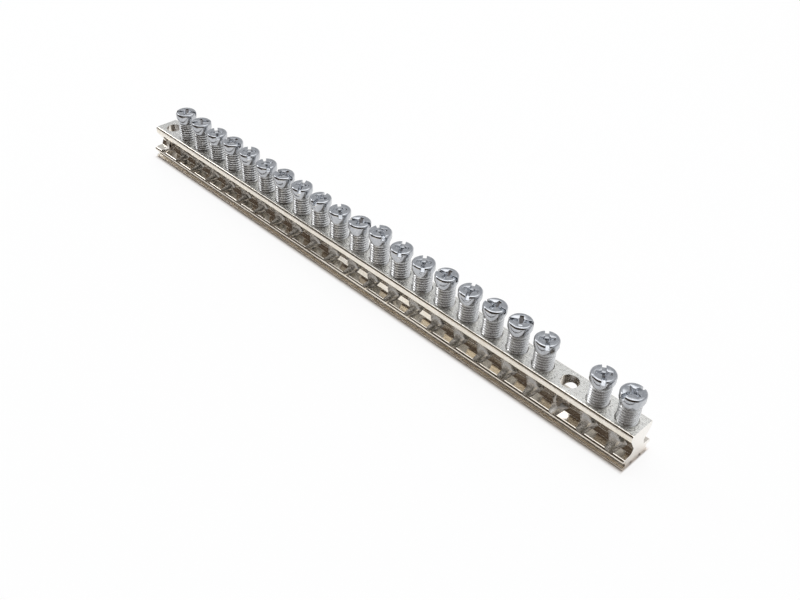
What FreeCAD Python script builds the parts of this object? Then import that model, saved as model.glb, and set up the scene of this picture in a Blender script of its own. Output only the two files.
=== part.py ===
import FreeCAD, Part
import Sketcher
import os

# Earth terminal bar
# One extruded aluminium bar with a row of 23 equally spaced wire holes through its web.
# Twenty-one of them have a plated clamping screw above, screwed most of the way out. Over
# the first, and between the two runs of screws, there is a plain mounting hole instead.
# Frame: X along the bar, Y across it, Z up, origin at the middle of the underside.

doc = FreeCAD.newDocument("EarthTerminalBar")
sheet = doc.addObject("Spreadsheet::Sheet", "Sizes")

# Sizes in millimetres
SIZES = [
    ("terminal_pitch", 9.525),
    ("position_count", 23),
    ("first_run_terminals", 19),
    ("end_margin", 5.1),
    ("bar_height", 12.4),
    ("flange_width", 9.4),
    ("flange_depth", 2.2),
    ("flange_top_radius", 0.7),
    ("flange_under_radius", 0.5),
    ("waist_width", 4.7),
    ("waist_drop", 6.0),
    ("waist_radius", 0.4),
    ("channel_floor_width", 6.0),
    ("channel_floor_drop", 7.9),
    ("channel_floor_radius", 0.3),
    ("lip_width", 12.6),
    ("lip_top_drop", 8.2),
    ("lip_bottom_drop", 9.35),
    ("lip_top_radius", 0.75),
    ("lip_under_radius", 0.25),
    ("foot_groove_width", 9.6),
    ("foot_height", 0.9),
    ("foot_width", 11.5),
    ("foot_radius", 0.3),
    ("underside_groove_spacing", 4.2),
    ("underside_groove_width", 1.5),
    ("underside_groove_floor", 0.9),
    ("underside_groove_depth", 1.2),
    ("wire_hole_diameter", 6.0),
    ("wire_hole_drop", 5.55),
    ("mounting_hole_diameter", 5.6),
    ("thread_diameter", 6.3),
    ("thread_clearance", 0.05),
    ("bore_mouth_chamfer", 0.2),
    ("drill_point_angle", 118),
    ("drill_point_below_wire_hole", 0.6),
    ("screw_length", 8.8),
    ("screw_point_diameter", 3.0),
    ("screw_point_height", 1.1),
    ("screw_stand_off", 6.2),
    ("head_diameter", 7.4),
    ("head_height", 3.8),
    ("head_taper_height", 1.6),
    ("head_edge_radius", 0.65),
    ("slot_width", 1.2),
    ("slot_depth", 1.3),
    ("cross_span", 4.6),
    ("cross_floor_span", 1.5),
    ("cross_width", 1.15),
    ("cross_depth", 2.2),
    ("cross_point_diameter", 2.6),
    ("cross_point_depth", 2.5),
]
for row, (alias, value) in enumerate(SIZES, start=1):
    sheet.set("A%d" % row, alias)
    sheet.set("B%d" % row, str(value))
    sheet.setAlias("B%d" % row, alias)

# How far each screw is turned, in degrees, and how much higher it stands than the others,
# in millimetres, from the left end of the bar to the right
SCREWS = [
    (42, 0.7), (60, 0.4), (150, 0.1), (5, 0.5), (140, 0.5), (154, -0.1), (5, 0.1),
    (125, 0.0), (108, -0.2), (142, -0.3), (25, -0.1), (152, 1.1), (122, -0.1), (128, -0.4),
    (8, 0.3), (115, 0.0), (0, 0.0), (32, 0.1), (130, -0.4), (125, -0.2), (73, -0.2),
]
doc.recompute()


def size(alias):
    return float(getattr(sheet, alias))


def origin_plane(body, role):
    for item in body.Origin.OriginFeatures:
        if getattr(item, "Role", "") == role:
            return item
    raise RuntimeError("no origin plane %s" % role)


def new_sketch(body, name, role):
    sketch = body.newObject("Sketcher::SketchObject", name)
    sketch.AttachmentSupport = [(origin_plane(body, role), "")]
    sketch.MapMode = "FlatFace"
    return sketch


def value_of(expression):
    return float(sheet.evalExpression(expression))


def bind(sketch, kind, parts, name, expression):
    # Distances in a sketch are kept positive, so a point's side comes from its first place.
    number = sketch.addConstraint(Sketcher.Constraint(kind, *parts, abs(value_of(expression))))
    sketch.renameConstraint(number, name)
    sketch.setExpression("Constraints." + name, "abs(" + expression + ")")


def outline(sketch, points):
    """Closed outline through points given as pairs of expressions on the sheet."""
    places = [(value_of(a), value_of(b)) for a, b in points]
    count = len(points)
    for i in range(count):
        first = FreeCAD.Vector(places[i][0], places[i][1], 0)
        second = FreeCAD.Vector(places[(i + 1) % count][0], places[(i + 1) % count][1], 0)
        sketch.addGeometry(Part.LineSegment(first, second), False)
    for i in range(count):
        sketch.addConstraint(Sketcher.Constraint("Coincident", i, 2, (i + 1) % count, 1))
    for i in range(count):
        across, up = points[i]
        if abs(places[i][0]) < 1e-9:
            sketch.addConstraint(Sketcher.Constraint("PointOnObject", i, 1, -2))
        else:
            side = (-1, 1, i, 1) if places[i][0] > 0 else (i, 1, -1, 1)
            bind(sketch, "DistanceX", side, "across%d" % i, across)
        if abs(places[i][1]) < 1e-9:
            sketch.addConstraint(Sketcher.Constraint("PointOnObject", i, 1, -1))
        else:
            side = (-1, 1, i, 1) if places[i][1] > 0 else (i, 1, -1, 1)
            bind(sketch, "DistanceY", side, "up%d" % i, up)
    return places


def circle(sketch, name, across, up, diameter):
    """Circle whose centre and diameter are expressions on the sheet."""
    x = value_of(across)
    y = value_of(up)
    centre = FreeCAD.Vector(x, y, 0)
    up_z = FreeCAD.Vector(0, 0, 1)
    number = sketch.addGeometry(Part.Circle(centre, up_z, value_of(diameter) / 2), False)
    if abs(x) < 1e-9:
        sketch.addConstraint(Sketcher.Constraint("PointOnObject", number, 3, -2))
    else:
        side = (-1, 1, number, 3) if x > 0 else (number, 3, -1, 1)
        bind(sketch, "DistanceX", side, name + "_across", across)
    if abs(y) < 1e-9:
        sketch.addConstraint(Sketcher.Constraint("PointOnObject", number, 3, -1))
    else:
        side = (-1, 1, number, 3) if y > 0 else (number, 3, -1, 1)
        bind(sketch, "DistanceY", side, name + "_up", up)
    bind(sketch, "Diameter", (number,), name + "_size", diameter)


def edges_along_x(shape, places):
    """Names of the straight edges along the bar that pass through the given corners."""
    names = []
    for number, edge in enumerate(shape.Edges, start=1):
        ends = [v.Point for v in edge.Vertexes]
        if len(ends) != 2 or abs(ends[0].x - ends[1].x) < 1.0:
            continue
        for across, up in places:
            if abs(ends[0].y - across) < 1e-4 and abs(ends[0].z - up) < 1e-4:
                names.append("Edge%d" % number)
    return names


def round_corners(body, base, name, corners, radius):
    """Rounds the long edges at the given corners of the section, on both sides."""
    places = []
    for across, up in corners:
        places.append((value_of(across), value_of(up)))
        places.append((-value_of(across), value_of(up)))
    names = edges_along_x(base.Shape, places)
    if len(names) != len(places):
        raise RuntimeError("%s found %d edges of %d" % (name, len(names), len(places)))
    fillet = body.newObject("PartDesign::Fillet", name)
    fillet.Base = (base, names)
    fillet.setExpression("Radius", radius)
    doc.recompute()
    return fillet


def must_shrink(before, feature):
    if feature.Shape.isNull() or feature.Shape.Volume > before - 1e-3:
        raise RuntimeError("%s cut nothing" % feature.Name)
    return feature.Shape.Volume


# Shared expressions
HALF_RUN = "(Sizes.position_count - 1) / 2 * Sizes.terminal_pitch"
TOP = "Sizes.bar_height"
BORE = "(Sizes.thread_diameter + 2 * Sizes.thread_clearance)"
POINT_DROP = (
    "(Sizes.wire_hole_drop + Sizes.wire_hole_diameter / 2"
    " + Sizes.drill_point_below_wire_hole)"
)


def below_top(drop):
    return "Sizes.bar_height - Sizes." + drop


# Terminal bar: the extruded section
bar = doc.addObject("PartDesign::Body", "TerminalBar")
bar.Label = "terminal_bar"
section = new_sketch(bar, "BarSection", "YZ_Plane")
GROOVE_MID = "Sizes.underside_groove_spacing / 2"
half = [
    ("Sizes.flange_width / 2", TOP),
    ("Sizes.flange_width / 2", below_top("flange_depth")),
    ("Sizes.waist_width / 2", below_top("waist_drop")),
    ("Sizes.channel_floor_width / 2", below_top("channel_floor_drop")),
    ("Sizes.lip_width / 2", below_top("lip_top_drop")),
    ("Sizes.lip_width / 2", below_top("lip_bottom_drop")),
    ("Sizes.foot_groove_width / 2", below_top("lip_bottom_drop")),
    ("Sizes.foot_groove_width / 2", "Sizes.foot_height"),
    ("Sizes.foot_width / 2", "Sizes.foot_height"),
    ("Sizes.foot_width / 2", "0"),
    (GROOVE_MID + " + Sizes.underside_groove_width / 2", "0"),
    (GROOVE_MID + " + Sizes.underside_groove_floor / 2", "Sizes.underside_groove_depth"),
    (GROOVE_MID + " - Sizes.underside_groove_floor / 2", "Sizes.underside_groove_depth"),
    (GROOVE_MID + " - Sizes.underside_groove_width / 2", "0"),
]
other = [("-(" + across + ")", up) for across, up in reversed(half)]
outline(section, half + other)
pad = bar.newObject("PartDesign::Pad", "BarExtrusion")
pad.Profile = section
pad.Midplane = True
pad.setExpression("Length", "2 * (" + HALF_RUN + ") + 2 * Sizes.end_margin")
doc.recompute()

step = round_corners(bar, pad, "WaistRounding", [half[2]], "Sizes.waist_radius")
step = round_corners(bar, step, "FloorRounding", [half[3]], "Sizes.channel_floor_radius")
step = round_corners(bar, step, "FlangeTopRounding", [half[0]], "Sizes.flange_top_radius")
step = round_corners(bar, step, "FlangeUnderRounding", [half[1]], "Sizes.flange_under_radius")
step = round_corners(bar, step, "LipTopRounding", [half[4]], "Sizes.lip_top_radius")
step = round_corners(bar, step, "LipUnderRounding", [half[5]], "Sizes.lip_under_radius")
step = round_corners(
    bar, step, "FootRounding", [half[6], half[7], half[8], half[9]], "Sizes.foot_radius"
)
volume = step.Shape.Volume


def repeat_along(body, feature, sketch, name, count):
    """Repeats a cut along the bar at the terminal pitch."""
    pattern = body.newObject("PartDesign::LinearPattern", name)
    pattern.Originals = [feature]
    pattern.Direction = (sketch, ["H_Axis"])
    pattern.setExpression("Length", "(" + count + " - 1) * Sizes.terminal_pitch")
    pattern.setExpression("Occurrences", count)
    body.Tip = pattern
    doc.recompute()
    return pattern


# Wire holes: straight through from side to side, one at every position
sketch = new_sketch(bar, "WireHoleSketch", "XZ_Plane")
circle(
    sketch, "wire_hole", "-(" + HALF_RUN + ")", below_top("wire_hole_drop"), "Sizes.wire_hole_diameter"
)
hole = bar.newObject("PartDesign::Pocket", "WireHole")
hole.Profile = sketch
hole.Type = "ThroughAll"
hole.Midplane = True
doc.recompute()
volume = must_shrink(volume, hole)
repeated = repeat_along(bar, hole, sketch, "WireHoles", "Sizes.position_count")
volume = must_shrink(volume, repeated)

# Screw bores: drilled from the top, past the wire hole, with the drill's point left below it.
# The first run of them starts beside the first position, the second past the mounting hole.
POINT_HEIGHT = "(" + BORE + " / 2 / tan(Sizes.drill_point_angle * 1deg / 2))"
RUNS = [
    ("FirstRun", "1", "Sizes.first_run_terminals"),
    (
        "SecondRun",
        "Sizes.first_run_terminals + 2",
        "Sizes.position_count - Sizes.first_run_terminals - 2",
    ),
]
for run, first, count in RUNS:
    along = "(" + first + ") * Sizes.terminal_pitch - " + HALF_RUN
    mouth = BORE + " / 2 + Sizes.bore_mouth_chamfer"
    sketch = new_sketch(bar, run + "BoreSketch", "XZ_Plane")
    outline(
        sketch,
        [
            (along, TOP + " - " + POINT_DROP),
            (along + " + " + BORE + " / 2", TOP + " - " + POINT_DROP + " + " + POINT_HEIGHT),
            (along + " + " + BORE + " / 2", TOP + " - Sizes.bore_mouth_chamfer"),
            (along + " + " + mouth, TOP),
            (along, TOP),
        ],
    )
    top_end = value_of(TOP) + 5
    base_end = value_of(TOP) - 20
    x = value_of(along)
    axis = sketch.addGeometry(
        Part.LineSegment(FreeCAD.Vector(x, base_end, 0), FreeCAD.Vector(x, top_end, 0)), True
    )
    sketch.addConstraint(Sketcher.Constraint("Vertical", axis))
    sketch.addConstraint(Sketcher.Constraint("PointOnObject", 4, 1, axis))
    bore = bar.newObject("PartDesign::Groove", run + "Bore")
    bore.Profile = sketch
    bore.ReferenceAxis = (sketch, ["Axis0"])
    bore.Angle = 360
    doc.recompute()
    volume = must_shrink(volume, bore)
    repeated = repeat_along(bar, bore, sketch, run + "Bores", count)
    volume = must_shrink(volume, repeated)

# Mounting holes at the first position and between the two runs of terminals
sketch = new_sketch(bar, "MountingHoleSketch", "XY_Plane")
circle(sketch, "first", "-(" + HALF_RUN + ")", "0", "Sizes.mounting_hole_diameter")
circle(
    sketch,
    "second",
    "(Sizes.first_run_terminals + 1) * Sizes.terminal_pitch - " + HALF_RUN,
    "0",
    "Sizes.mounting_hole_diameter",
)
mounting = bar.newObject("PartDesign::Pocket", "MountingHoles")
mounting.Profile = sketch
mounting.Type = "ThroughAll"
mounting.Midplane = True
doc.recompute()
volume = must_shrink(volume, mounting)
bar.Tip = mounting


def make_screw(number, position, turned, raised):
    """Clamping screw: origin at the foot of the head, on the screw's own axis."""
    body = doc.addObject("PartDesign::Body", "TerminalScrew%02d" % number)
    body.Label = "terminal_screw_%02d" % number
    shank = "Sizes.thread_diameter / 2"
    head = "Sizes.head_diameter / 2"
    profile = new_sketch(body, "ScrewProfile%02d" % number, "XZ_Plane")
    outline(
        profile,
        [
            ("0", "-Sizes.screw_length"),
            ("Sizes.screw_point_diameter / 2", "-Sizes.screw_length"),
            (shank, "-Sizes.screw_length + Sizes.screw_point_height"),
            (shank, "0"),
            (head, "Sizes.head_taper_height"),
            (head, "Sizes.head_height"),
            ("0", "Sizes.head_height"),
        ],
    )
    turned_body = body.newObject("PartDesign::Revolution", "ScrewBlank%02d" % number)
    turned_body.Profile = profile
    turned_body.ReferenceAxis = (profile, ["V_Axis"])
    turned_body.Angle = 360
    doc.recompute()

    # Rounded rim
    top = size("head_height")
    rim = []
    for index, edge in enumerate(turned_body.Shape.Edges, start=1):
        low = edge.BoundBox
        if low.ZMin > top - 1e-4 and low.XLength > size("head_diameter") - 1e-3:
            rim.append("Edge%d" % index)
    rounding = body.newObject("PartDesign::Fillet", "HeadRounding%02d" % number)
    rounding.Base = (turned_body, rim)
    rounding.setExpression("Radius", "Sizes.head_edge_radius")
    doc.recompute()
    left = must_shrink(turned_body.Shape.Volume, rounding)

    # Straight slot across the whole head
    slot_sketch = new_sketch(body, "SlotSketch%02d" % number, "XY_Plane")
    slot_sketch.setExpression("AttachmentOffset.Base.z", "Sizes.head_height")
    over = head + " + 1"
    wide = "Sizes.slot_width / 2"
    outline(
        slot_sketch,
        [
            (over, wide),
            ("-(" + over + ")", wide),
            ("-(" + over + ")", "-(" + wide + ")"),
            (over, "-(" + wide + ")"),
        ],
    )
    slot = body.newObject("PartDesign::Pocket", "Slot%02d" % number)
    slot.Profile = slot_sketch
    slot.setExpression("Length", "Sizes.slot_depth")
    doc.recompute()
    left = must_shrink(left, slot)

    # Cross recess: two crossing pairs of wings that slope in towards a pointed centre
    floor = "Sizes.head_height - Sizes.cross_depth"
    for wings, role in (("CrossAlong", "XZ_Plane"), ("CrossOver", "YZ_Plane")):
        cross_sketch = new_sketch(body, "%sSketch%02d" % (wings, number), role)
        outline(
            cross_sketch,
            [
                ("Sizes.cross_span / 2", "Sizes.head_height"),
                ("-Sizes.cross_span / 2", "Sizes.head_height"),
                ("-Sizes.cross_floor_span / 2", floor),
                ("Sizes.cross_floor_span / 2", floor),
            ],
        )
        cross = body.newObject("PartDesign::Pocket", "%s%02d" % (wings, number))
        cross.Profile = cross_sketch
        cross.Midplane = True
        cross.setExpression("Length", "Sizes.cross_width")
        doc.recompute()
        left = must_shrink(left, cross)

    point_sketch = new_sketch(body, "PointSketch%02d" % number, "XZ_Plane")
    outline(
        point_sketch,
        [
            ("0", "Sizes.head_height - Sizes.cross_point_depth"),
            ("Sizes.cross_point_diameter / 2", "Sizes.head_height"),
            ("0", "Sizes.head_height"),
        ],
    )
    point = body.newObject("PartDesign::Groove", "Point%02d" % number)
    point.Profile = point_sketch
    point.ReferenceAxis = (point_sketch, ["V_Axis"])
    point.Angle = 360
    doc.recompute()
    must_shrink(left, point)
    body.Tip = point

    place = FreeCAD.Placement(
        FreeCAD.Vector(0, 0, 0), FreeCAD.Rotation(FreeCAD.Vector(0, 0, 1), turned)
    )
    body.Placement = place
    body.setExpression(
        "Placement.Base.x", "%d * Sizes.terminal_pitch - %s" % (position, HALF_RUN)
    )
    body.setExpression(
        "Placement.Base.z", "Sizes.bar_height + Sizes.screw_stand_off + %.1f" % raised
    )
    return body


# Clamping screws, one in each bore, each left at its own turn and height. A longer bar's
# further screws repeat the turns and heights from the start of the list.
pieces = [bar]
first_run = int(size("first_run_terminals"))
for number in range(1, int(size("position_count")) - 1):
    turned, raised = SCREWS[(number - 1) % len(SCREWS)]
    position = number if number <= first_run else number + 1
    pieces.append(make_screw(number, position, turned, raised))
doc.recompute()

# Checks before anything is written
for item in doc.Objects:
    for word in item.State:
        if word in ("Invalid", "Error"):
            raise RuntimeError("%s is %s" % (item.Label, word))
for piece in pieces:
    if piece.Shape.isNull() or not piece.Shape.isValid() or len(piece.Shape.Solids) != 1:
        raise RuntimeError("%s has no single valid solid" % piece.Label)

os.makedirs("parts", exist_ok=True)
for piece in pieces:
    piece.Shape.exportStep(os.path.join("parts", piece.Label + ".step"))
    print(piece.Label, round(piece.Shape.Volume, 3))
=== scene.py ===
import math

import bmesh
import bpy
from mathutils import Matrix, Vector


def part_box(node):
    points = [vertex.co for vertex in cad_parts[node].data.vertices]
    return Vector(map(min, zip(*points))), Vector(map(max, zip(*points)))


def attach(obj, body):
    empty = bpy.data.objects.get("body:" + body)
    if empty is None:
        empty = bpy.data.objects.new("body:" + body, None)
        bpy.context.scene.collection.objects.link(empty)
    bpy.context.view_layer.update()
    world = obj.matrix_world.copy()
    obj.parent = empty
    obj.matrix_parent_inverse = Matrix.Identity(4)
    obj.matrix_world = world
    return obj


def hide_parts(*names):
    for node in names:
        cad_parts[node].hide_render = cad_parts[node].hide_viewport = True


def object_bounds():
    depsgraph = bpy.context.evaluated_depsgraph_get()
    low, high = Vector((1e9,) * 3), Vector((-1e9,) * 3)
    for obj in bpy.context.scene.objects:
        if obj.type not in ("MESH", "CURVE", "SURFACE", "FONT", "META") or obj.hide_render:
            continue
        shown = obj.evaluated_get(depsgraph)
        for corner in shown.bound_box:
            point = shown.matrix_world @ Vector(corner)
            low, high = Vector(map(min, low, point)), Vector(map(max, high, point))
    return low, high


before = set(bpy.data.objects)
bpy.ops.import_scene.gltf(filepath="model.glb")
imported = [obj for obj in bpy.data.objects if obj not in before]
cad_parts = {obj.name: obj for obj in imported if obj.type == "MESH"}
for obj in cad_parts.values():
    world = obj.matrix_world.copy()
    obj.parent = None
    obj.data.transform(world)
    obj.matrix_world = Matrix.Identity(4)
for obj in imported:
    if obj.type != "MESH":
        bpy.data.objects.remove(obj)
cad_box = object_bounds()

# Earth terminal bar: the looks, in metres, with MM for sizes in millimetres
MM = 0.001

# Camera, at the photograph's viewpoint
PHOTO_WIDTH = 800
FOCAL_PIXELS = 950.354
SENSOR_WIDTH = 36.0
CAMERA_PLACE = Vector((0.183853, -0.173305, 0.191633))
CAMERA_AZIMUTH = math.radians(-43.4927)
CAMERA_ELEVATION = math.radians(38.4863)
CAMERA_ROLL = math.radians(-2.98317)
CAMERA_CLIP = (0.01, 20)

# Colours of the sky that the metal mirrors
HORIZON_COLOUR = (0.80, 0.80, 0.80)
OVERHEAD_COLOUR = (0.56, 0.57, 0.59)
DARK_SIDE_COLOUR = (0.060, 0.046, 0.036)
CEILING_COLOUR = (1.75, 1.77, 1.80)

# Where its parts lie: bearing from +X and elevation, in degrees
DARK_SIDE = (281, 12)
CEILING = (133.5, 78)
CEILING_EDGE = (133.5, 58)

# Where they fade in: between two heights, or two cosines of the angle to a part
OVERHEAD_FADE = (0.05, 0.45)
DARK_SIDE_FADE = (0.20, 0.48)
CEILING_FADE = (0.83, 0.89)
CEILING_EDGE_FADE = (0.70, 0.78)

# Lamps: name, bearing and elevation in degrees, metres wide, watts, mirrored in the metal or not
LAMP_DISTANCE = 1.2
LAMPS = (
    ("top_lamp", 120, 79, 0.8, 5.5, False),
    ("side_lamp", 186, 37, 0.30, 1.0, True),
)

# Floor: its size, its place under the bar and its colours, with a warm painted shadow on it beside the
# bar's foot
FLOOR_REACH = 4.0
FLOOR_GAP = 0.02 * MM
FLOOR_COLOUR = (0.93, 0.93, 0.93)
FLOOR_PAINTED_SHADOW_AT_FOOT = (0.86, 0.79, 0.73)
PAINTED_SHADOW_REACH = 3 * MM

# How much of the floor's white is its own, straight to the camera and in the metal
FLOOR_GLOW_SEEN = 0.9
FLOOR_GLOW_MIRRORED = 0.4

# Distances from the bar's foot between which that white sets in, beside it and past its ends
SEEN_GLOW_ASIDE = (-0.4 * MM, 1.8 * MM)
SEEN_GLOW_BEYOND = (0.0, 0.5 * MM)
MIRRORED_GLOW_ASIDE = (2 * MM, 7 * MM)
MIRRORED_GLOW_BEYOND = (0.2 * MM, 1 * MM)

# In the metal the white sheet ends in front of the bar, but for one pale card
SHEET_END = (-52 * MM, -46 * MM)
OFF_SHEET_COLOUR = (0.075, 0.058, 0.045)
CARD_LEFT_EDGE = (-40 * MM, -26 * MM)
CARD_RIGHT_EDGE = (32 * MM, 46 * MM)
CARD_COLOUR = (1.15, 1.07, 0.92)

# Dark flags on the sheet: name, left end and right end
FLAGS = (("left_flag", -260 * MM, -22 * MM), ("right_flag", 30 * MM, 260 * MM))
FLAG_PLACE = -18.5 * MM
FLAG_HEIGHT = 4.2 * MM
FLAG_COLOURS = ((0.080, 0.060, 0.045), (0.060, 0.045, 0.034))
FLAG_MOTTLE_SCALE = 60.0
FLAG_UNSEEN_BY = ("camera", "diffuse", "shadow", "transmission", "volume_scatter")

# Footprint of the bar on the floor
FOOT_HALF_LENGTH = 109.9 * MM
FOOT_HALF_WIDTH = 5.75 * MM

# Where the bar's top finish sets in: heights, and how far a face looks up
TOP_ABOVE = (11.6 * MM, 12.1 * MM)
TOP_FACING = (0.90, 0.98)

# How far sawn ends and drilled walls look along the bar, and where along it drilled walls stop
SAWN_FACING = (0.95, 0.99)
DRILLED_FACING = (0.05, 0.12)
DRILLED_WITHIN = (109.2 * MM, 109.7 * MM)

# Aluminium: drawn surfaces in two shades of their own, warmed by painted warm light, the top, the sawn ends
# and the drilled walls
DRAWN_TONES_AND_WARM_LIGHT = ((0.86, 0.80, 0.70), (0.93, 0.88, 0.80))
TOP_COLOUR = (0.84, 0.83, 0.79)
SAWN_COLOUR = (0.94, 0.91, 0.86)
DRILLED_COLOUR = (0.60, 0.57, 0.53)
DRAWN_ROUGHNESS = (0.13, 0.22)
TOP_ADDED_ROUGHNESS = 0.08
DRILLED_ADDED_ROUGHNESS = 0.08

# Zinc: plated surfaces in two shades, the thread's flanks painted near white as a painted highlight,
# painted shade in the thread's roots, and the recess
PLATED_COLOURS = ((0.46, 0.475, 0.50), (0.59, 0.60, 0.62))
FLANK_PAINTED_HIGHLIGHT_COLOUR = (0.98, 0.985, 0.985)
ROOT_PAINTED_SHADE_COLOUR = (0.10, 0.10, 0.105)
RECESS_COLOUR = (0.88, 0.90, 0.93)
PLATED_ROUGHNESS = (0.10, 0.20)
RECESS_ADDED_ROUGHNESS = 0.22
THREAD_ADDED_ROUGHNESS = 0.12
THREAD_DULLNESS = 0.30

# Where the screw's finish, its painted highlight and its painted shade change: heights from its head's foot
# and distances from its axis
RECESS_BELOW = (3.3 * MM, 3.6 * MM)
RECESS_ABOVE = (0.6 * MM, 0.9 * MM)
RECESS_WITHIN = (2.0 * MM, 2.5 * MM)
THREAD_BELOW = (-0.10 * MM, 0.0)
PAINTED_ROOT_SHADE_ABOVE = (-7.8 * MM, -7.5 * MM)
PAINTED_ROOT_SHADE_WITHIN = (2.66 * MM, 2.82 * MM)

# Noise on the metals: scale, detail and roughness, and the stretch of two along X, Y and Z
DRAW_LINE_SCALES = (12, 2600, 2600)
DRILL_RING_SCALES = (900, 5200, 900)
STRETCHED_NOISE = (1.0, 3.0, 0.6)
ALUMINIUM_MOTTLE = (420.0, 4.0, 0.6)
ALUMINIUM_GRAIN = (9000.0, 2.0, 0.6)
NICKS = (1300.0, 2.0, 0.5)
ZINC_MOTTLE = (900.0, 4.0, 0.6)
ZINC_GRAIN = (7000.0, 3.0, 0.7)

# The values of the noise between which mottling, roughness and nicks set in
MOTTLE_FADE = (0.35, 0.7)
GRAIN_FADE = (0.3, 0.7)
NICK_FADE = (0.56, 0.68)

# Bumps: depth and strength, and the share of that depth that the drilled rings have
DRILL_RING_SHARE = 0.4
LINE_BUMP = (0.012 * MM, 0.6)
NICK_BUMP = (0.12 * MM, 1.0)
ALUMINIUM_GRAIN_BUMP = (0.004 * MM, 0.5)
ZINC_GRAIN_BUMP = (0.006 * MM, 0.5)

# Screws, sizes as on the CAD nodes
SCREW_COUNT = 21
SCREW_LENGTH = 8.8 * MM
HEAD_HEIGHT = 3.8 * MM
HEAD_TAPER_HEIGHT = 1.6 * MM
HEAD_EDGE_RADIUS = 0.65 * MM
THREAD_PITCH = 25.4 / 28 * MM
THREAD_RADIUS = 3.15 * MM
THREAD_DEPTH = 0.56 * MM
POINT_RADIUS = 1.5 * MM
POINT_HEIGHT = 1.1 * MM
SLOT_WIDTH = 1.2 * MM
SLOT_DEPTH = 1.3 * MM
CROSS_SPAN = 4.6 * MM
CROSS_FLOOR_SPAN = 1.5 * MM
CROSS_WIDTH = 1.15 * MM
CROSS_DEPTH = 2.2 * MM

# Pointed middle of the cross: its tip and floor, and its radius there and above the head
CORE_TIP_DEPTH = 1.05 * CROSS_DEPTH
CORE_FLOOR_RADIUS = 0.5 * MM
CORE_TOP_RADIUS = 1.45 * MM

# One turn of the thread from its crest, as pairs of share of the pitch and share of the depth
THREAD_PROFILE = (
    (0.00, 0.0), (0.05, 0.015), (0.10, 0.065), (0.15, 0.165), (0.20, 0.30), (0.42, 0.92),
    (0.46, 0.985), (0.50, 1.0), (0.56, 1.0), (0.60, 0.97), (0.86, 0.23), (0.93, 0.06),
)
THREAD_TOP = 0.1 * HEAD_TAPER_HEIGHT
SPARE_TURNS = 2
LEAST_RADIUS = 0.2 * MM

# Fineness of the screw's mesh
THREAD_STEPS = 60
HEAD_STEPS = 96
EDGE_STEPS = 8
CORE_STEPS = 32
BEVEL_WIDTH = 0.06 * MM
BEVEL_SEGMENTS = 2
BEVEL_FROM = math.radians(52)
SHARP_FROM = math.radians(32)
FLAT_WITHIN = math.radians(0.5)
HEAD_WELD = 0.015 * MM
THREAD_WELD = 0.002 * MM
CUT_WITHIN = 1e-7

# The head's foot is let into the thread, and cutters stand out above the head
FOOT_SINK = 0.3 * MM
FOOT_INSET = 0.6 * MM
CUTTER_RISE = 1 * MM
SLOT_HALF_LENGTH = 6 * MM

# On a CAD screw, how near the slot's floor a point lies and how far out the slot's ends start
SLOT_FLOOR_WITHIN = 0.02 * MM
SLOT_ENDS_FROM = 3 * MM


# Camera
def make_camera():
    az, el = CAMERA_AZIMUTH, CAMERA_ELEVATION
    ahead = Vector((math.sin(az) * math.cos(el), math.cos(az) * math.cos(el), -math.sin(el)))
    right = ahead.cross(Vector((0, 0, 1))).normalized()
    down = ahead.cross(right)
    turned_right = math.cos(CAMERA_ROLL) * right + math.sin(CAMERA_ROLL) * down
    turned_down = math.cos(CAMERA_ROLL) * down - math.sin(CAMERA_ROLL) * right
    data = bpy.data.cameras.new("camera")
    data.sensor_width = SENSOR_WIDTH
    data.lens = FOCAL_PIXELS / PHOTO_WIDTH * SENSOR_WIDTH
    data.clip_start, data.clip_end = CAMERA_CLIP
    camera = bpy.data.objects.new("camera", data)
    bpy.context.scene.collection.objects.link(camera)
    axes = Matrix((turned_right, -turned_down, -ahead)).transposed()
    camera.matrix_world = Matrix.Translation(CAMERA_PLACE) @ axes.to_4x4()
    bpy.context.scene.camera = camera


# Directions
def pointing(bearing, elevation):
    """The direction given by a bearing from +X and an elevation, in degrees."""
    a, e = math.radians(bearing), math.radians(elevation)
    return Vector((math.cos(a) * math.cos(e), math.sin(a) * math.cos(e), math.sin(e)))


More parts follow.
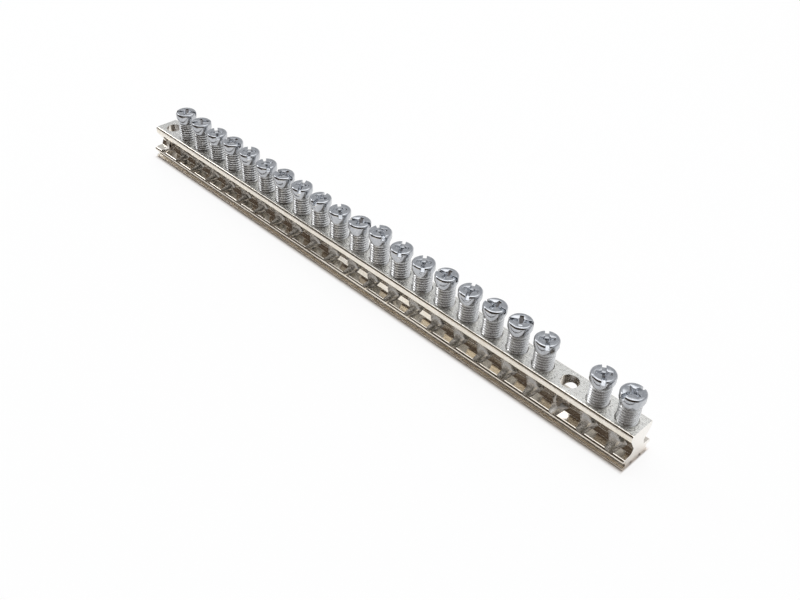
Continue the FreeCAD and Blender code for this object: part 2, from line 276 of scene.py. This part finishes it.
# Node helpers
class Nodes:
    """A short way to write a node tree."""

    def __init__(self, tree):
        self.tree = tree
        tree.nodes.clear()

    def add(self, kind, **settings):
        node = self.tree.nodes.new(kind)
        for name, value in settings.items():
            if name in node.inputs:
                node.inputs[name].default_value = value
            else:
                setattr(node, name, value)
        return node

    def join(self, source, target):
        self.tree.links.new(source, target)

    def math(self, operation, *values, clamp=False):
        node = self.tree.nodes.new("ShaderNodeMath")
        node.operation = operation
        node.use_clamp = clamp
        for socket, value in zip(node.inputs, values):
            if isinstance(value, (int, float)):
                socket.default_value = value
            else:
                self.join(value, socket)
        return node.outputs[0]

    def fade(self, value, low, high, start=0.0, end=1.0):
        node = self.tree.nodes.new("ShaderNodeMapRange")
        node.interpolation_type = "SMOOTHSTEP"
        self.join(value, node.inputs["Value"])
        node.inputs["From Min"].default_value = low
        node.inputs["From Max"].default_value = high
        node.inputs["To Min"].default_value = start
        node.inputs["To Max"].default_value = end
        return node.outputs["Result"]

    def mix(self, share, first, second):
        node = self.tree.nodes.new("ShaderNodeMix")
        node.data_type = "RGBA"
        for socket, value in ((node.inputs[0], share), (node.inputs[6], first), (node.inputs[7], second)):
            if isinstance(value, tuple):
                socket.default_value = (*value, 1)
            else:
                self.join(value, socket)
        return node.outputs[2]

    def dot(self, direction, way):
        """How far a direction points one way."""
        node = self.tree.nodes.new("ShaderNodeVectorMath")
        node.operation = "DOT_PRODUCT"
        self.join(direction, node.inputs[0])
        node.inputs[1].default_value = way
        return node.outputs["Value"]

    def parts(self, vector):
        """The X, Y and Z of a vector."""
        node = self.add("ShaderNodeSeparateXYZ")
        self.join(vector, node.inputs[0])
        return node.outputs["X"], node.outputs["Y"], node.outputs["Z"]

    def distance(self, first, second):
        """Length of the diagonal across two lengths."""
        squares = self.math("ADD", self.math("POWER", first, 2.0), self.math("POWER", second, 2.0))
        return self.math("SQRT", squares)


def new_material(name):
    material = bpy.data.materials.new(name)
    material.use_nodes = True
    return material, Nodes(material.node_tree)


def metal_material(name):
    material, n = new_material(name)
    shader = n.add("ShaderNodeBsdfPrincipled", Metallic=1.0)
    n.join(shader.outputs[0], n.add("ShaderNodeOutputMaterial").inputs["Surface"])
    return material, n, shader


def stretched(n, place, scale):
    node = n.add("ShaderNodeMapping")
    n.join(place, node.inputs["Vector"])
    node.inputs["Scale"].default_value = scale
    return node.outputs[0]


def noise_of(n, place, scale, detail=2.0, roughness=0.5):
    node = n.add("ShaderNodeTexNoise", Scale=scale, Detail=detail, Roughness=roughness)
    n.join(place, node.inputs["Vector"])
    return node.outputs["Fac"]


def bump_of(n, height, distance, strength=1.0, below=None):
    node = n.add("ShaderNodeBump", Strength=strength, Distance=distance)
    n.join(height, node.inputs["Height"])
    if below is not None:
        n.join(below, node.inputs["Normal"])
    return node.outputs[0]


# Studio
def make_world():
    """White for the camera, and for the metal a grey room, dark in front, with a bright ceiling."""
    world = bpy.data.worlds.new("studio")
    bpy.context.scene.world = world
    world.use_nodes = True
    n = Nodes(world.node_tree)
    direction = n.add("ShaderNodeTexCoord").outputs["Generated"]
    up = n.parts(direction)[2]
    sky = n.mix(n.fade(up, *OVERHEAD_FADE), HORIZON_COLOUR, OVERHEAD_COLOUR)
    dark = n.fade(n.dot(direction, pointing(*DARK_SIDE)), *DARK_SIDE_FADE)
    sky = n.mix(dark, sky, DARK_SIDE_COLOUR)
    ceiling = n.fade(n.dot(direction, pointing(*CEILING)), *CEILING_FADE)
    edge = n.fade(n.dot(direction, pointing(*CEILING_EDGE)), *CEILING_EDGE_FADE)
    sky = n.mix(n.math("MULTIPLY", ceiling, edge), sky, CEILING_COLOUR)
    seen = n.add("ShaderNodeLightPath").outputs["Is Camera Ray"]
    background = n.add("ShaderNodeBackground")
    n.join(n.mix(seen, sky, (1, 1, 1)), background.inputs["Color"])
    n.join(background.outputs[0], n.add("ShaderNodeOutputWorld").inputs["Surface"])


def make_lamp(name, bearing, elevation, width, power, mirrored):
    data = bpy.data.lights.new(name, "AREA")
    data.shape = "SQUARE"
    data.size = width
    data.energy = power
    lamp = bpy.data.objects.new(name, data)
    lamp.visible_glossy = mirrored
    bpy.context.scene.collection.objects.link(lamp)
    outward = pointing(bearing, elevation)
    lamp.location = outward * LAMP_DISTANCE
    lamp.rotation_euler = outward.to_track_quat("Z", "Y").to_euler()


def blended(n, share, first, second):
    """A shader that turns from the first into the second."""
    node = n.add("ShaderNodeMixShader")
    n.join(share, node.inputs["Fac"])
    n.join(first.outputs[0], node.inputs[1])
    n.join(second.outputs[0], node.inputs[2])
    return node


def floor_material():
    """White floor with the bar's shadow, a warm painted shadow beside its foot, and what of the floor the
    metal shows.
    """
    material, n = new_material("pale_floor")
    x, y, _ = n.parts(n.add("ShaderNodeTexCoord").outputs["Object"])
    beyond = n.math("MAXIMUM", n.math("SUBTRACT", n.math("ABSOLUTE", x), FOOT_HALF_LENGTH), 0.0)
    aside = n.math("MAXIMUM", n.math("SUBTRACT", n.math("ABSOLUTE", y), FOOT_HALF_WIDTH), 0.0)
    # Painted shadow: the floor's colour darkens and warms within a few millimetres of the bar's foot
    painted_shadow_fade = n.fade(n.distance(beyond, aside), 0.0, PAINTED_SHADOW_REACH)
    path = n.add("ShaderNodeLightPath")
    mirrored = n.math("ADD", path.outputs["Is Glossy Ray"], path.outputs["Is Transmission Ray"], clamp=True)

    # Clear of the bar's foot the floor shows its own white, and right beside the foot its shadow
    clear = n.math("MAXIMUM", n.fade(aside, *SEEN_GLOW_ASIDE), n.fade(beyond, *SEEN_GLOW_BEYOND))
    seen = n.math("MULTIPLY", path.outputs["Is Camera Ray"], FLOOR_GLOW_SEEN)
    open_aside = n.fade(aside, *MIRRORED_GLOW_ASIDE)
    open_floor = n.math("ADD", open_aside, n.fade(beyond, *MIRRORED_GLOW_BEYOND), clamp=True)
    share = n.math("MULTIPLY", n.math("MULTIPLY", mirrored, FLOOR_GLOW_MIRRORED), open_floor)
    share = n.math("ADD", n.math("MULTIPLY", seen, clear), share, clamp=True)
    lit = n.add("ShaderNodeBsdfDiffuse")
    # The diffuse colour carries the painted shadow beside the foot
    n.join(n.mix(painted_shadow_fade, FLOOR_PAINTED_SHADOW_AT_FOOT, FLOOR_COLOUR), lit.inputs["Color"])
    glow = n.add("ShaderNodeEmission", Color=(1, 1, 1, 1), Strength=1.0)
    sheet = blended(n, share, lit, glow)

    # In the metal the white sheet ends a little way in front of the bar, but for one pale card
    card = n.math("MULTIPLY", n.fade(x, *CARD_LEFT_EDGE), n.fade(x, *CARD_RIGHT_EDGE, 1.0, 0.0))
    dim = n.add("ShaderNodeEmission")
    n.join(n.mix(card, OFF_SHEET_COLOUR, CARD_COLOUR), dim.inputs["Color"])
    off_sheet = n.math("MULTIPLY", mirrored, n.fade(y, *SHEET_END, 1.0, 0.0))
    whole = blended(n, off_sheet, sheet, dim)
    n.join(whole.outputs[0], n.add("ShaderNodeOutputMaterial").inputs["Surface"])
    return material


def make_floor():
    reach = FLOOR_REACH
    corners = [(-reach, -reach, 0), (reach, -reach, 0), (reach, reach, 0), (-reach, reach, 0)]
    floor = mesh_object("floor", corners, [(0, 1, 2, 3)])
    floor.location.z = cad_box[0].z - FLOOR_GAP
    floor.data.materials.append(floor_material())


def make_flags():
    """Low dark flags in front of the bar, which only the metal mirrors, with a gap between them."""
    material, n = new_material("dark_flag")
    place = n.add("ShaderNodeTexCoord").outputs["Object"]
    dim = n.add("ShaderNodeEmission")
    n.join(n.mix(noise_of(n, place, FLAG_MOTTLE_SCALE), *FLAG_COLOURS), dim.inputs["Color"])
    n.join(dim.outputs[0], n.add("ShaderNodeOutputMaterial").inputs["Surface"])
    low = cad_box[0].z
    top = low + FLAG_HEIGHT
    for name, left, right in FLAGS:
        corners = [(left, FLAG_PLACE, low), (right, FLAG_PLACE, low), (right, FLAG_PLACE, top)]
        flag = mesh_object(name, corners + [(left, FLAG_PLACE, top)], [(0, 1, 2, 3)])
        flag.data.materials.append(material)
        for kind in FLAG_UNSEEN_BY:
            setattr(flag, "visible_" + kind, False)


# Materials
def make_aluminium():
    """Drawn along the bar, with a nicked top, sawn ends and drilled walls."""
    material, n, shader = metal_material("extruded_aluminium")
    place = n.add("ShaderNodeTexCoord").outputs["Object"]
    x, _, z = n.parts(place)
    facing = n.parts(n.add("ShaderNodeNewGeometry").outputs["True Normal"])
    endways = n.math("ABSOLUTE", facing[0])
    on_top = n.math("MULTIPLY", n.fade(facing[2], *TOP_FACING), n.fade(z, *TOP_ABOVE))
    sawn = n.fade(endways, *SAWN_FACING)
    inner = n.fade(n.math("ABSOLUTE", x), *DRILLED_WITHIN, 1.0, 0.0)
    drilled = n.math("MULTIPLY", inner, n.fade(endways, *DRILLED_FACING))

    draw_lines = noise_of(n, stretched(n, place, DRAW_LINE_SCALES), *STRETCHED_NOISE)
    rings = noise_of(n, stretched(n, place, DRILL_RING_SCALES), *STRETCHED_NOISE)
    mottle = noise_of(n, place, *ALUMINIUM_MOTTLE)
    grain = noise_of(n, place, *ALUMINIUM_GRAIN)
    nicks = n.fade(noise_of(n, place, *NICKS), *NICK_FADE)

    # Painted warm light: the drawn faces are tinted cream over their two random shades, while the top keeps
    # a neutral colour
    colour = n.mix(n.fade(mottle, *MOTTLE_FADE), *DRAWN_TONES_AND_WARM_LIGHT)
    colour = n.mix(on_top, colour, TOP_COLOUR)
    colour = n.mix(drilled, colour, DRILLED_COLOUR)
    n.join(n.mix(sawn, colour, SAWN_COLOUR), shader.inputs["Base Color"])
    rough = n.fade(draw_lines, *GRAIN_FADE, *DRAWN_ROUGHNESS)
    rough = n.math("ADD", rough, n.math("MULTIPLY", on_top, TOP_ADDED_ROUGHNESS))
    rough = n.math("ADD", rough, n.math("MULTIPLY", drilled, DRILLED_ADDED_ROUGHNESS))
    n.join(rough, shader.inputs["Roughness"])
    low_rings = n.math("MULTIPLY", rings, DRILL_RING_SHARE)
    lines = bump_of(n, n.mix(drilled, draw_lines, low_rings), *LINE_BUMP)
    marked = bump_of(n, n.math("MULTIPLY", nicks, on_top), *NICK_BUMP, lines)
    n.join(bump_of(n, grain, *ALUMINIUM_GRAIN_BUMP, marked), shader.inputs["Normal"])
    return material


def make_zinc():
    """Bluish plating, paler in the head's recess, painted near white on the thread as a painted highlight,
    and with painted shade in its roots.
    """
    material, n, shader = metal_material("bright_zinc")
    place = n.add("ShaderNodeTexCoord").outputs["Object"]
    x, y, height = n.parts(place)
    radius = n.distance(x, y)
    in_head = n.math("MULTIPLY", n.fade(height, *RECESS_BELOW, 1.0, 0.0), n.fade(height, *RECESS_ABOVE))
    recess = n.math("MULTIPLY", in_head, n.fade(radius, *RECESS_WITHIN, 1.0, 0.0))
    threaded = n.fade(height, *THREAD_BELOW, 1.0, 0.0)
    # Painted shade: the thread's roots, between its turns, are painted near black
    painted_root_shade = n.math("MULTIPLY", n.fade(radius, *PAINTED_ROOT_SHADE_WITHIN, 1.0, 0.0), n.fade(height, *PAINTED_ROOT_SHADE_ABOVE))
    mottle = noise_of(n, place, *ZINC_MOTTLE)
    grain = noise_of(n, place, *ZINC_GRAIN)

    colour = n.mix(n.fade(mottle, *MOTTLE_FADE), *PLATED_COLOURS)
    # Painted highlight: the thread is painted near white, much paler than the plating on the head, and its
    # roots get the painted shade
    colour = n.mix(threaded, colour, n.mix(painted_root_shade, FLANK_PAINTED_HIGHLIGHT_COLOUR, ROOT_PAINTED_SHADE_COLOUR))
    n.join(n.mix(recess, colour, RECESS_COLOUR), shader.inputs["Base Color"])
    metallic = n.math("SUBTRACT", 1.0, n.math("MULTIPLY", threaded, THREAD_DULLNESS))
    n.join(metallic, shader.inputs["Metallic"])
    added = n.math("MULTIPLY", recess, RECESS_ADDED_ROUGHNESS)
    added = n.math("ADD", added, n.math("MULTIPLY", threaded, THREAD_ADDED_ROUGHNESS))
    rough = n.math("ADD", n.fade(grain, *GRAIN_FADE, *PLATED_ROUGHNESS), added)
    n.join(rough, shader.inputs["Roughness"])
    n.join(bump_of(n, grain, *ZINC_GRAIN_BUMP), shader.inputs["Normal"])
    return material


# Screw mesh
def revolved(name, profile, steps):
    """Closed mesh turned from (radius, height) points that start and end on the axis."""
    verts = [(0, 0, profile[0][1])]
    rings = profile[1:-1]
    for radius, height in rings:
        for i in range(steps):
            a = 2 * math.pi * i / steps
            verts.append((radius * math.cos(a), radius * math.sin(a), height))
    verts.append((0, 0, profile[-1][1]))
    last = len(verts) - 1
    faces = []
    for i in range(steps):
        k = (i + 1) % steps
        faces.append((0, 1 + k, 1 + i))
        for r in range(len(rings) - 1):
            a, b = 1 + r * steps, 1 + (r + 1) * steps
            faces.append((a + i, a + k, b + k, b + i))
        top = 1 + (len(rings) - 1) * steps
        faces.append((top + i, top + k, last))
    return mesh_object(name, verts, faces)


def mesh_object(name, verts, faces):
    mesh = bpy.data.meshes.new(name)
    mesh.from_pydata([tuple(v) for v in verts], [], faces)
    mesh.validate()
    piece = bpy.data.objects.new(name, mesh)
    bpy.context.scene.collection.objects.link(piece)
    return piece


def block(name, half_length, floor_half_length, half_width, top, bottom):
    """Cutter whose long sides slope in from its top to its bottom."""
    verts = []
    for reach, height in ((floor_half_length, bottom), (half_length, top)):
        verts += [(-reach, -half_width, height), (reach, -half_width, height)]
        verts += [(reach, half_width, height), (-reach, half_width, height)]
    faces = [(3, 2, 1, 0), (4, 5, 6, 7), (0, 1, 5, 4), (1, 2, 6, 5), (2, 3, 7, 6), (3, 0, 4, 7)]
    return mesh_object(name, verts, faces)


def combine(piece, tool, operation):
    modifier = piece.modifiers.new("combine", "BOOLEAN")
    modifier.operation = operation
    modifier.solver = "EXACT"
    modifier.object = tool
    settle(piece)
    bpy.data.objects.remove(tool)


def settle(piece):
    """Applies the modifiers of a piece to its mesh."""
    bpy.context.view_layer.update()
    shape = piece.evaluated_get(bpy.context.evaluated_depsgraph_get())
    mesh = bpy.data.meshes.new_from_object(shape)
    piece.modifiers.clear()
    piece.data = mesh


def thread_grid():
    """Open spiral surface that runs on past both ends of the thread."""
    low = -SCREW_LENGTH
    turns = int(math.ceil((THREAD_TOP - low) / THREAD_PITCH))
    starts = range(-SPARE_TURNS, turns + SPARE_TURNS)
    rows = [(turn + share, depth) for turn in starts for share, depth in THREAD_PROFILE]
    verts = []
    for share, depth in rows:
        for i in range(THREAD_STEPS + 1):
            angle = 2 * math.pi * i / THREAD_STEPS
            z = low + (share + i / THREAD_STEPS) * THREAD_PITCH
            cone = POINT_RADIUS + (THREAD_RADIUS - POINT_RADIUS) * (z - low) / POINT_HEIGHT
            radius = max(min(THREAD_RADIUS - depth * THREAD_DEPTH, cone), LEAST_RADIUS)
            verts.append((radius * math.cos(angle), radius * math.sin(angle), z))
    width = THREAD_STEPS + 1
    faces = []
    for r in range(len(rows) - 1):
        for i in range(THREAD_STEPS):
            a = r * width + i
            faces.append((a, a + 1, a + 1 + width, a + width))
    return mesh_object("thread", verts, faces)


def thread_shape():
    """Threaded shank with a pointed end, closed, from the point up into the head."""
    piece = thread_grid()
    tidy = bmesh.new()
    tidy.from_mesh(piece.data)
    bmesh.ops.remove_doubles(tidy, verts=tidy.verts, dist=THREAD_WELD)
    for height, way in ((-SCREW_LENGTH, -1), (THREAD_TOP, 1)):
        everything = tidy.verts[:] + tidy.edges[:] + tidy.faces[:]
        bmesh.ops.bisect_plane(
            tidy, geom=everything, plane_co=(0, 0, height), plane_no=(0, 0, way), clear_outer=True
        )
        open_edges = [edge for edge in tidy.edges if len(edge.link_faces) == 1]
        cut_edges = [edge for edge in open_edges if abs(edge.verts[0].co.z - height) < CUT_WITHIN]
        bmesh.ops.holes_fill(tidy, edges=cut_edges, sides=0)
    bmesh.ops.recalc_face_normals(tidy, faces=tidy.faces)
    tidy.to_mesh(piece.data)
    tidy.free()
    return piece


def head_blank(head_radius):
    """The head before its recess is cut, with its foot let into the thread."""
    profile = [
        (0, -FOOT_SINK),
        (THREAD_RADIUS - FOOT_INSET, -FOOT_SINK),
        (THREAD_RADIUS, 0),
        (head_radius, HEAD_TAPER_HEIGHT),
    ]
    edge = HEAD_EDGE_RADIUS
    for i in range(EDGE_STEPS + 1):
        a = math.pi / 2 * i / EDGE_STEPS
        profile.append((head_radius - edge + edge * math.cos(a), HEAD_HEIGHT - edge + edge * math.sin(a)))
    profile.append((0, HEAD_HEIGHT))
    return revolved("head", profile, HEAD_STEPS)


def cut_recess(head):
    """Cuts the straight slot, the two wings of the cross and its pointed middle."""
    above = HEAD_HEIGHT + CUTTER_RISE
    slot_floor = HEAD_HEIGHT - SLOT_DEPTH
    slot = block("slot", SLOT_HALF_LENGTH, SLOT_HALF_LENGTH, SLOT_WIDTH / 2, above, slot_floor)
    combine(head, slot, "DIFFERENCE")
    cross_floor = HEAD_HEIGHT - CROSS_DEPTH
    slope = (CROSS_SPAN - CROSS_FLOOR_SPAN) / 2 / CROSS_DEPTH
    reach = CROSS_SPAN / 2 + slope * CUTTER_RISE
    for turned in (0, math.pi / 2):
        wing = block("wing", reach, CROSS_FLOOR_SPAN / 2, CROSS_WIDTH / 2, above, cross_floor)
        wing.data.transform(Matrix.Rotation(turned, 4, "Z"))
        combine(head, wing, "DIFFERENCE")
    tip = (0, HEAD_HEIGHT - CORE_TIP_DEPTH)
    core_profile = [tip, (CORE_FLOOR_RADIUS, cross_floor), (CORE_TOP_RADIUS, above), (0, above)]
    combine(head, revolved("core", core_profile, CORE_STEPS), "DIFFERENCE")


def soften_edges(head, head_radius):
    """Joins the slivers that the cuts leave, and bevels sharp edges inside the head's outline."""
    tidy = bmesh.new()
    tidy.from_mesh(head.data)
    bmesh.ops.remove_doubles(tidy, verts=tidy.verts, dist=HEAD_WELD)
    bmesh.ops.dissolve_limit(tidy, angle_limit=FLAT_WITHIN, verts=tidy.verts, edges=tidy.edges)
    tidy.to_mesh(head.data)
    tidy.free()
    bevel = head.modifiers.new("bevel", "BEVEL")
    bevel.width = BEVEL_WIDTH
    bevel.use_clamp_overlap = False
    bevel.segments = BEVEL_SEGMENTS
    bevel.limit_method = "ANGLE"
    bevel.angle_limit = BEVEL_FROM
    settle(head)
    for vertex in head.data.vertices:
        vertex.co.z = min(vertex.co.z, HEAD_HEIGHT)
        vertex.co.xy *= min(1.0, head_radius / max(vertex.co.xy.length, MM))


def screw_shape(head_radius):
    """The clamping screw about its own axis, with the foot of its head at height 0."""
    screw = head_blank(head_radius)
    cut_recess(screw)
    soften_edges(screw, head_radius)
    combine(screw, thread_shape(), "UNION")
    screw.data.set_sharp_from_angle(angle=SHARP_FROM)
    return screw


def slot_turn(node, centre, top):
    """The angle of a CAD screw's slot, read from the ends of the slot's floor."""
    points = [v.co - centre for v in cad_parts[node].data.vertices]
    floor = [p for p in points if abs(p.z - (top - SLOT_DEPTH)) < SLOT_FLOOR_WITHIN]
    ends = [p for p in floor if p.xy.length > SLOT_ENDS_FROM]
    double = sum((complex(p.x, p.y) / p.xy.length) ** 2 for p in ends)
    return math.atan2(double.imag, double.real) / 2


def make_screws(material):
    low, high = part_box("terminal_screw_01")
    master = screw_shape((high.x - low.x) / 2)
    master.data.materials.clear()
    master.data.materials.append(material)
    for number in range(1, SCREW_COUNT + 1):
        node = "terminal_screw_%02d" % number
        low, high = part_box(node)
        centre = Vector(((low.x + high.x) / 2, (low.y + high.y) / 2, 0))
        piece = bpy.data.objects.new("clamping_screw_%02d" % number, master.data)
        bpy.context.scene.collection.objects.link(piece)
        turn = Matrix.Rotation(slot_turn(node, centre, high.z), 4, "Z")
        piece.matrix_world = Matrix.Translation(centre + Vector((0, 0, high.z - HEAD_HEIGHT))) @ turn
        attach(piece, "screw_%02d" % number)
        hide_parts(node)
    bpy.data.objects.remove(master)


def paint_bar(material):
    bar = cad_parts["terminal_bar"]
    for slot in bar.material_slots:
        slot.material = material


make_camera()
make_world()
make_floor()
make_flags()
for lamp in LAMPS:
    make_lamp(*lamp)
paint_bar(make_aluminium())
make_screws(make_zinc())

scene = bpy.context.scene
scene.view_settings.view_transform = "Standard"
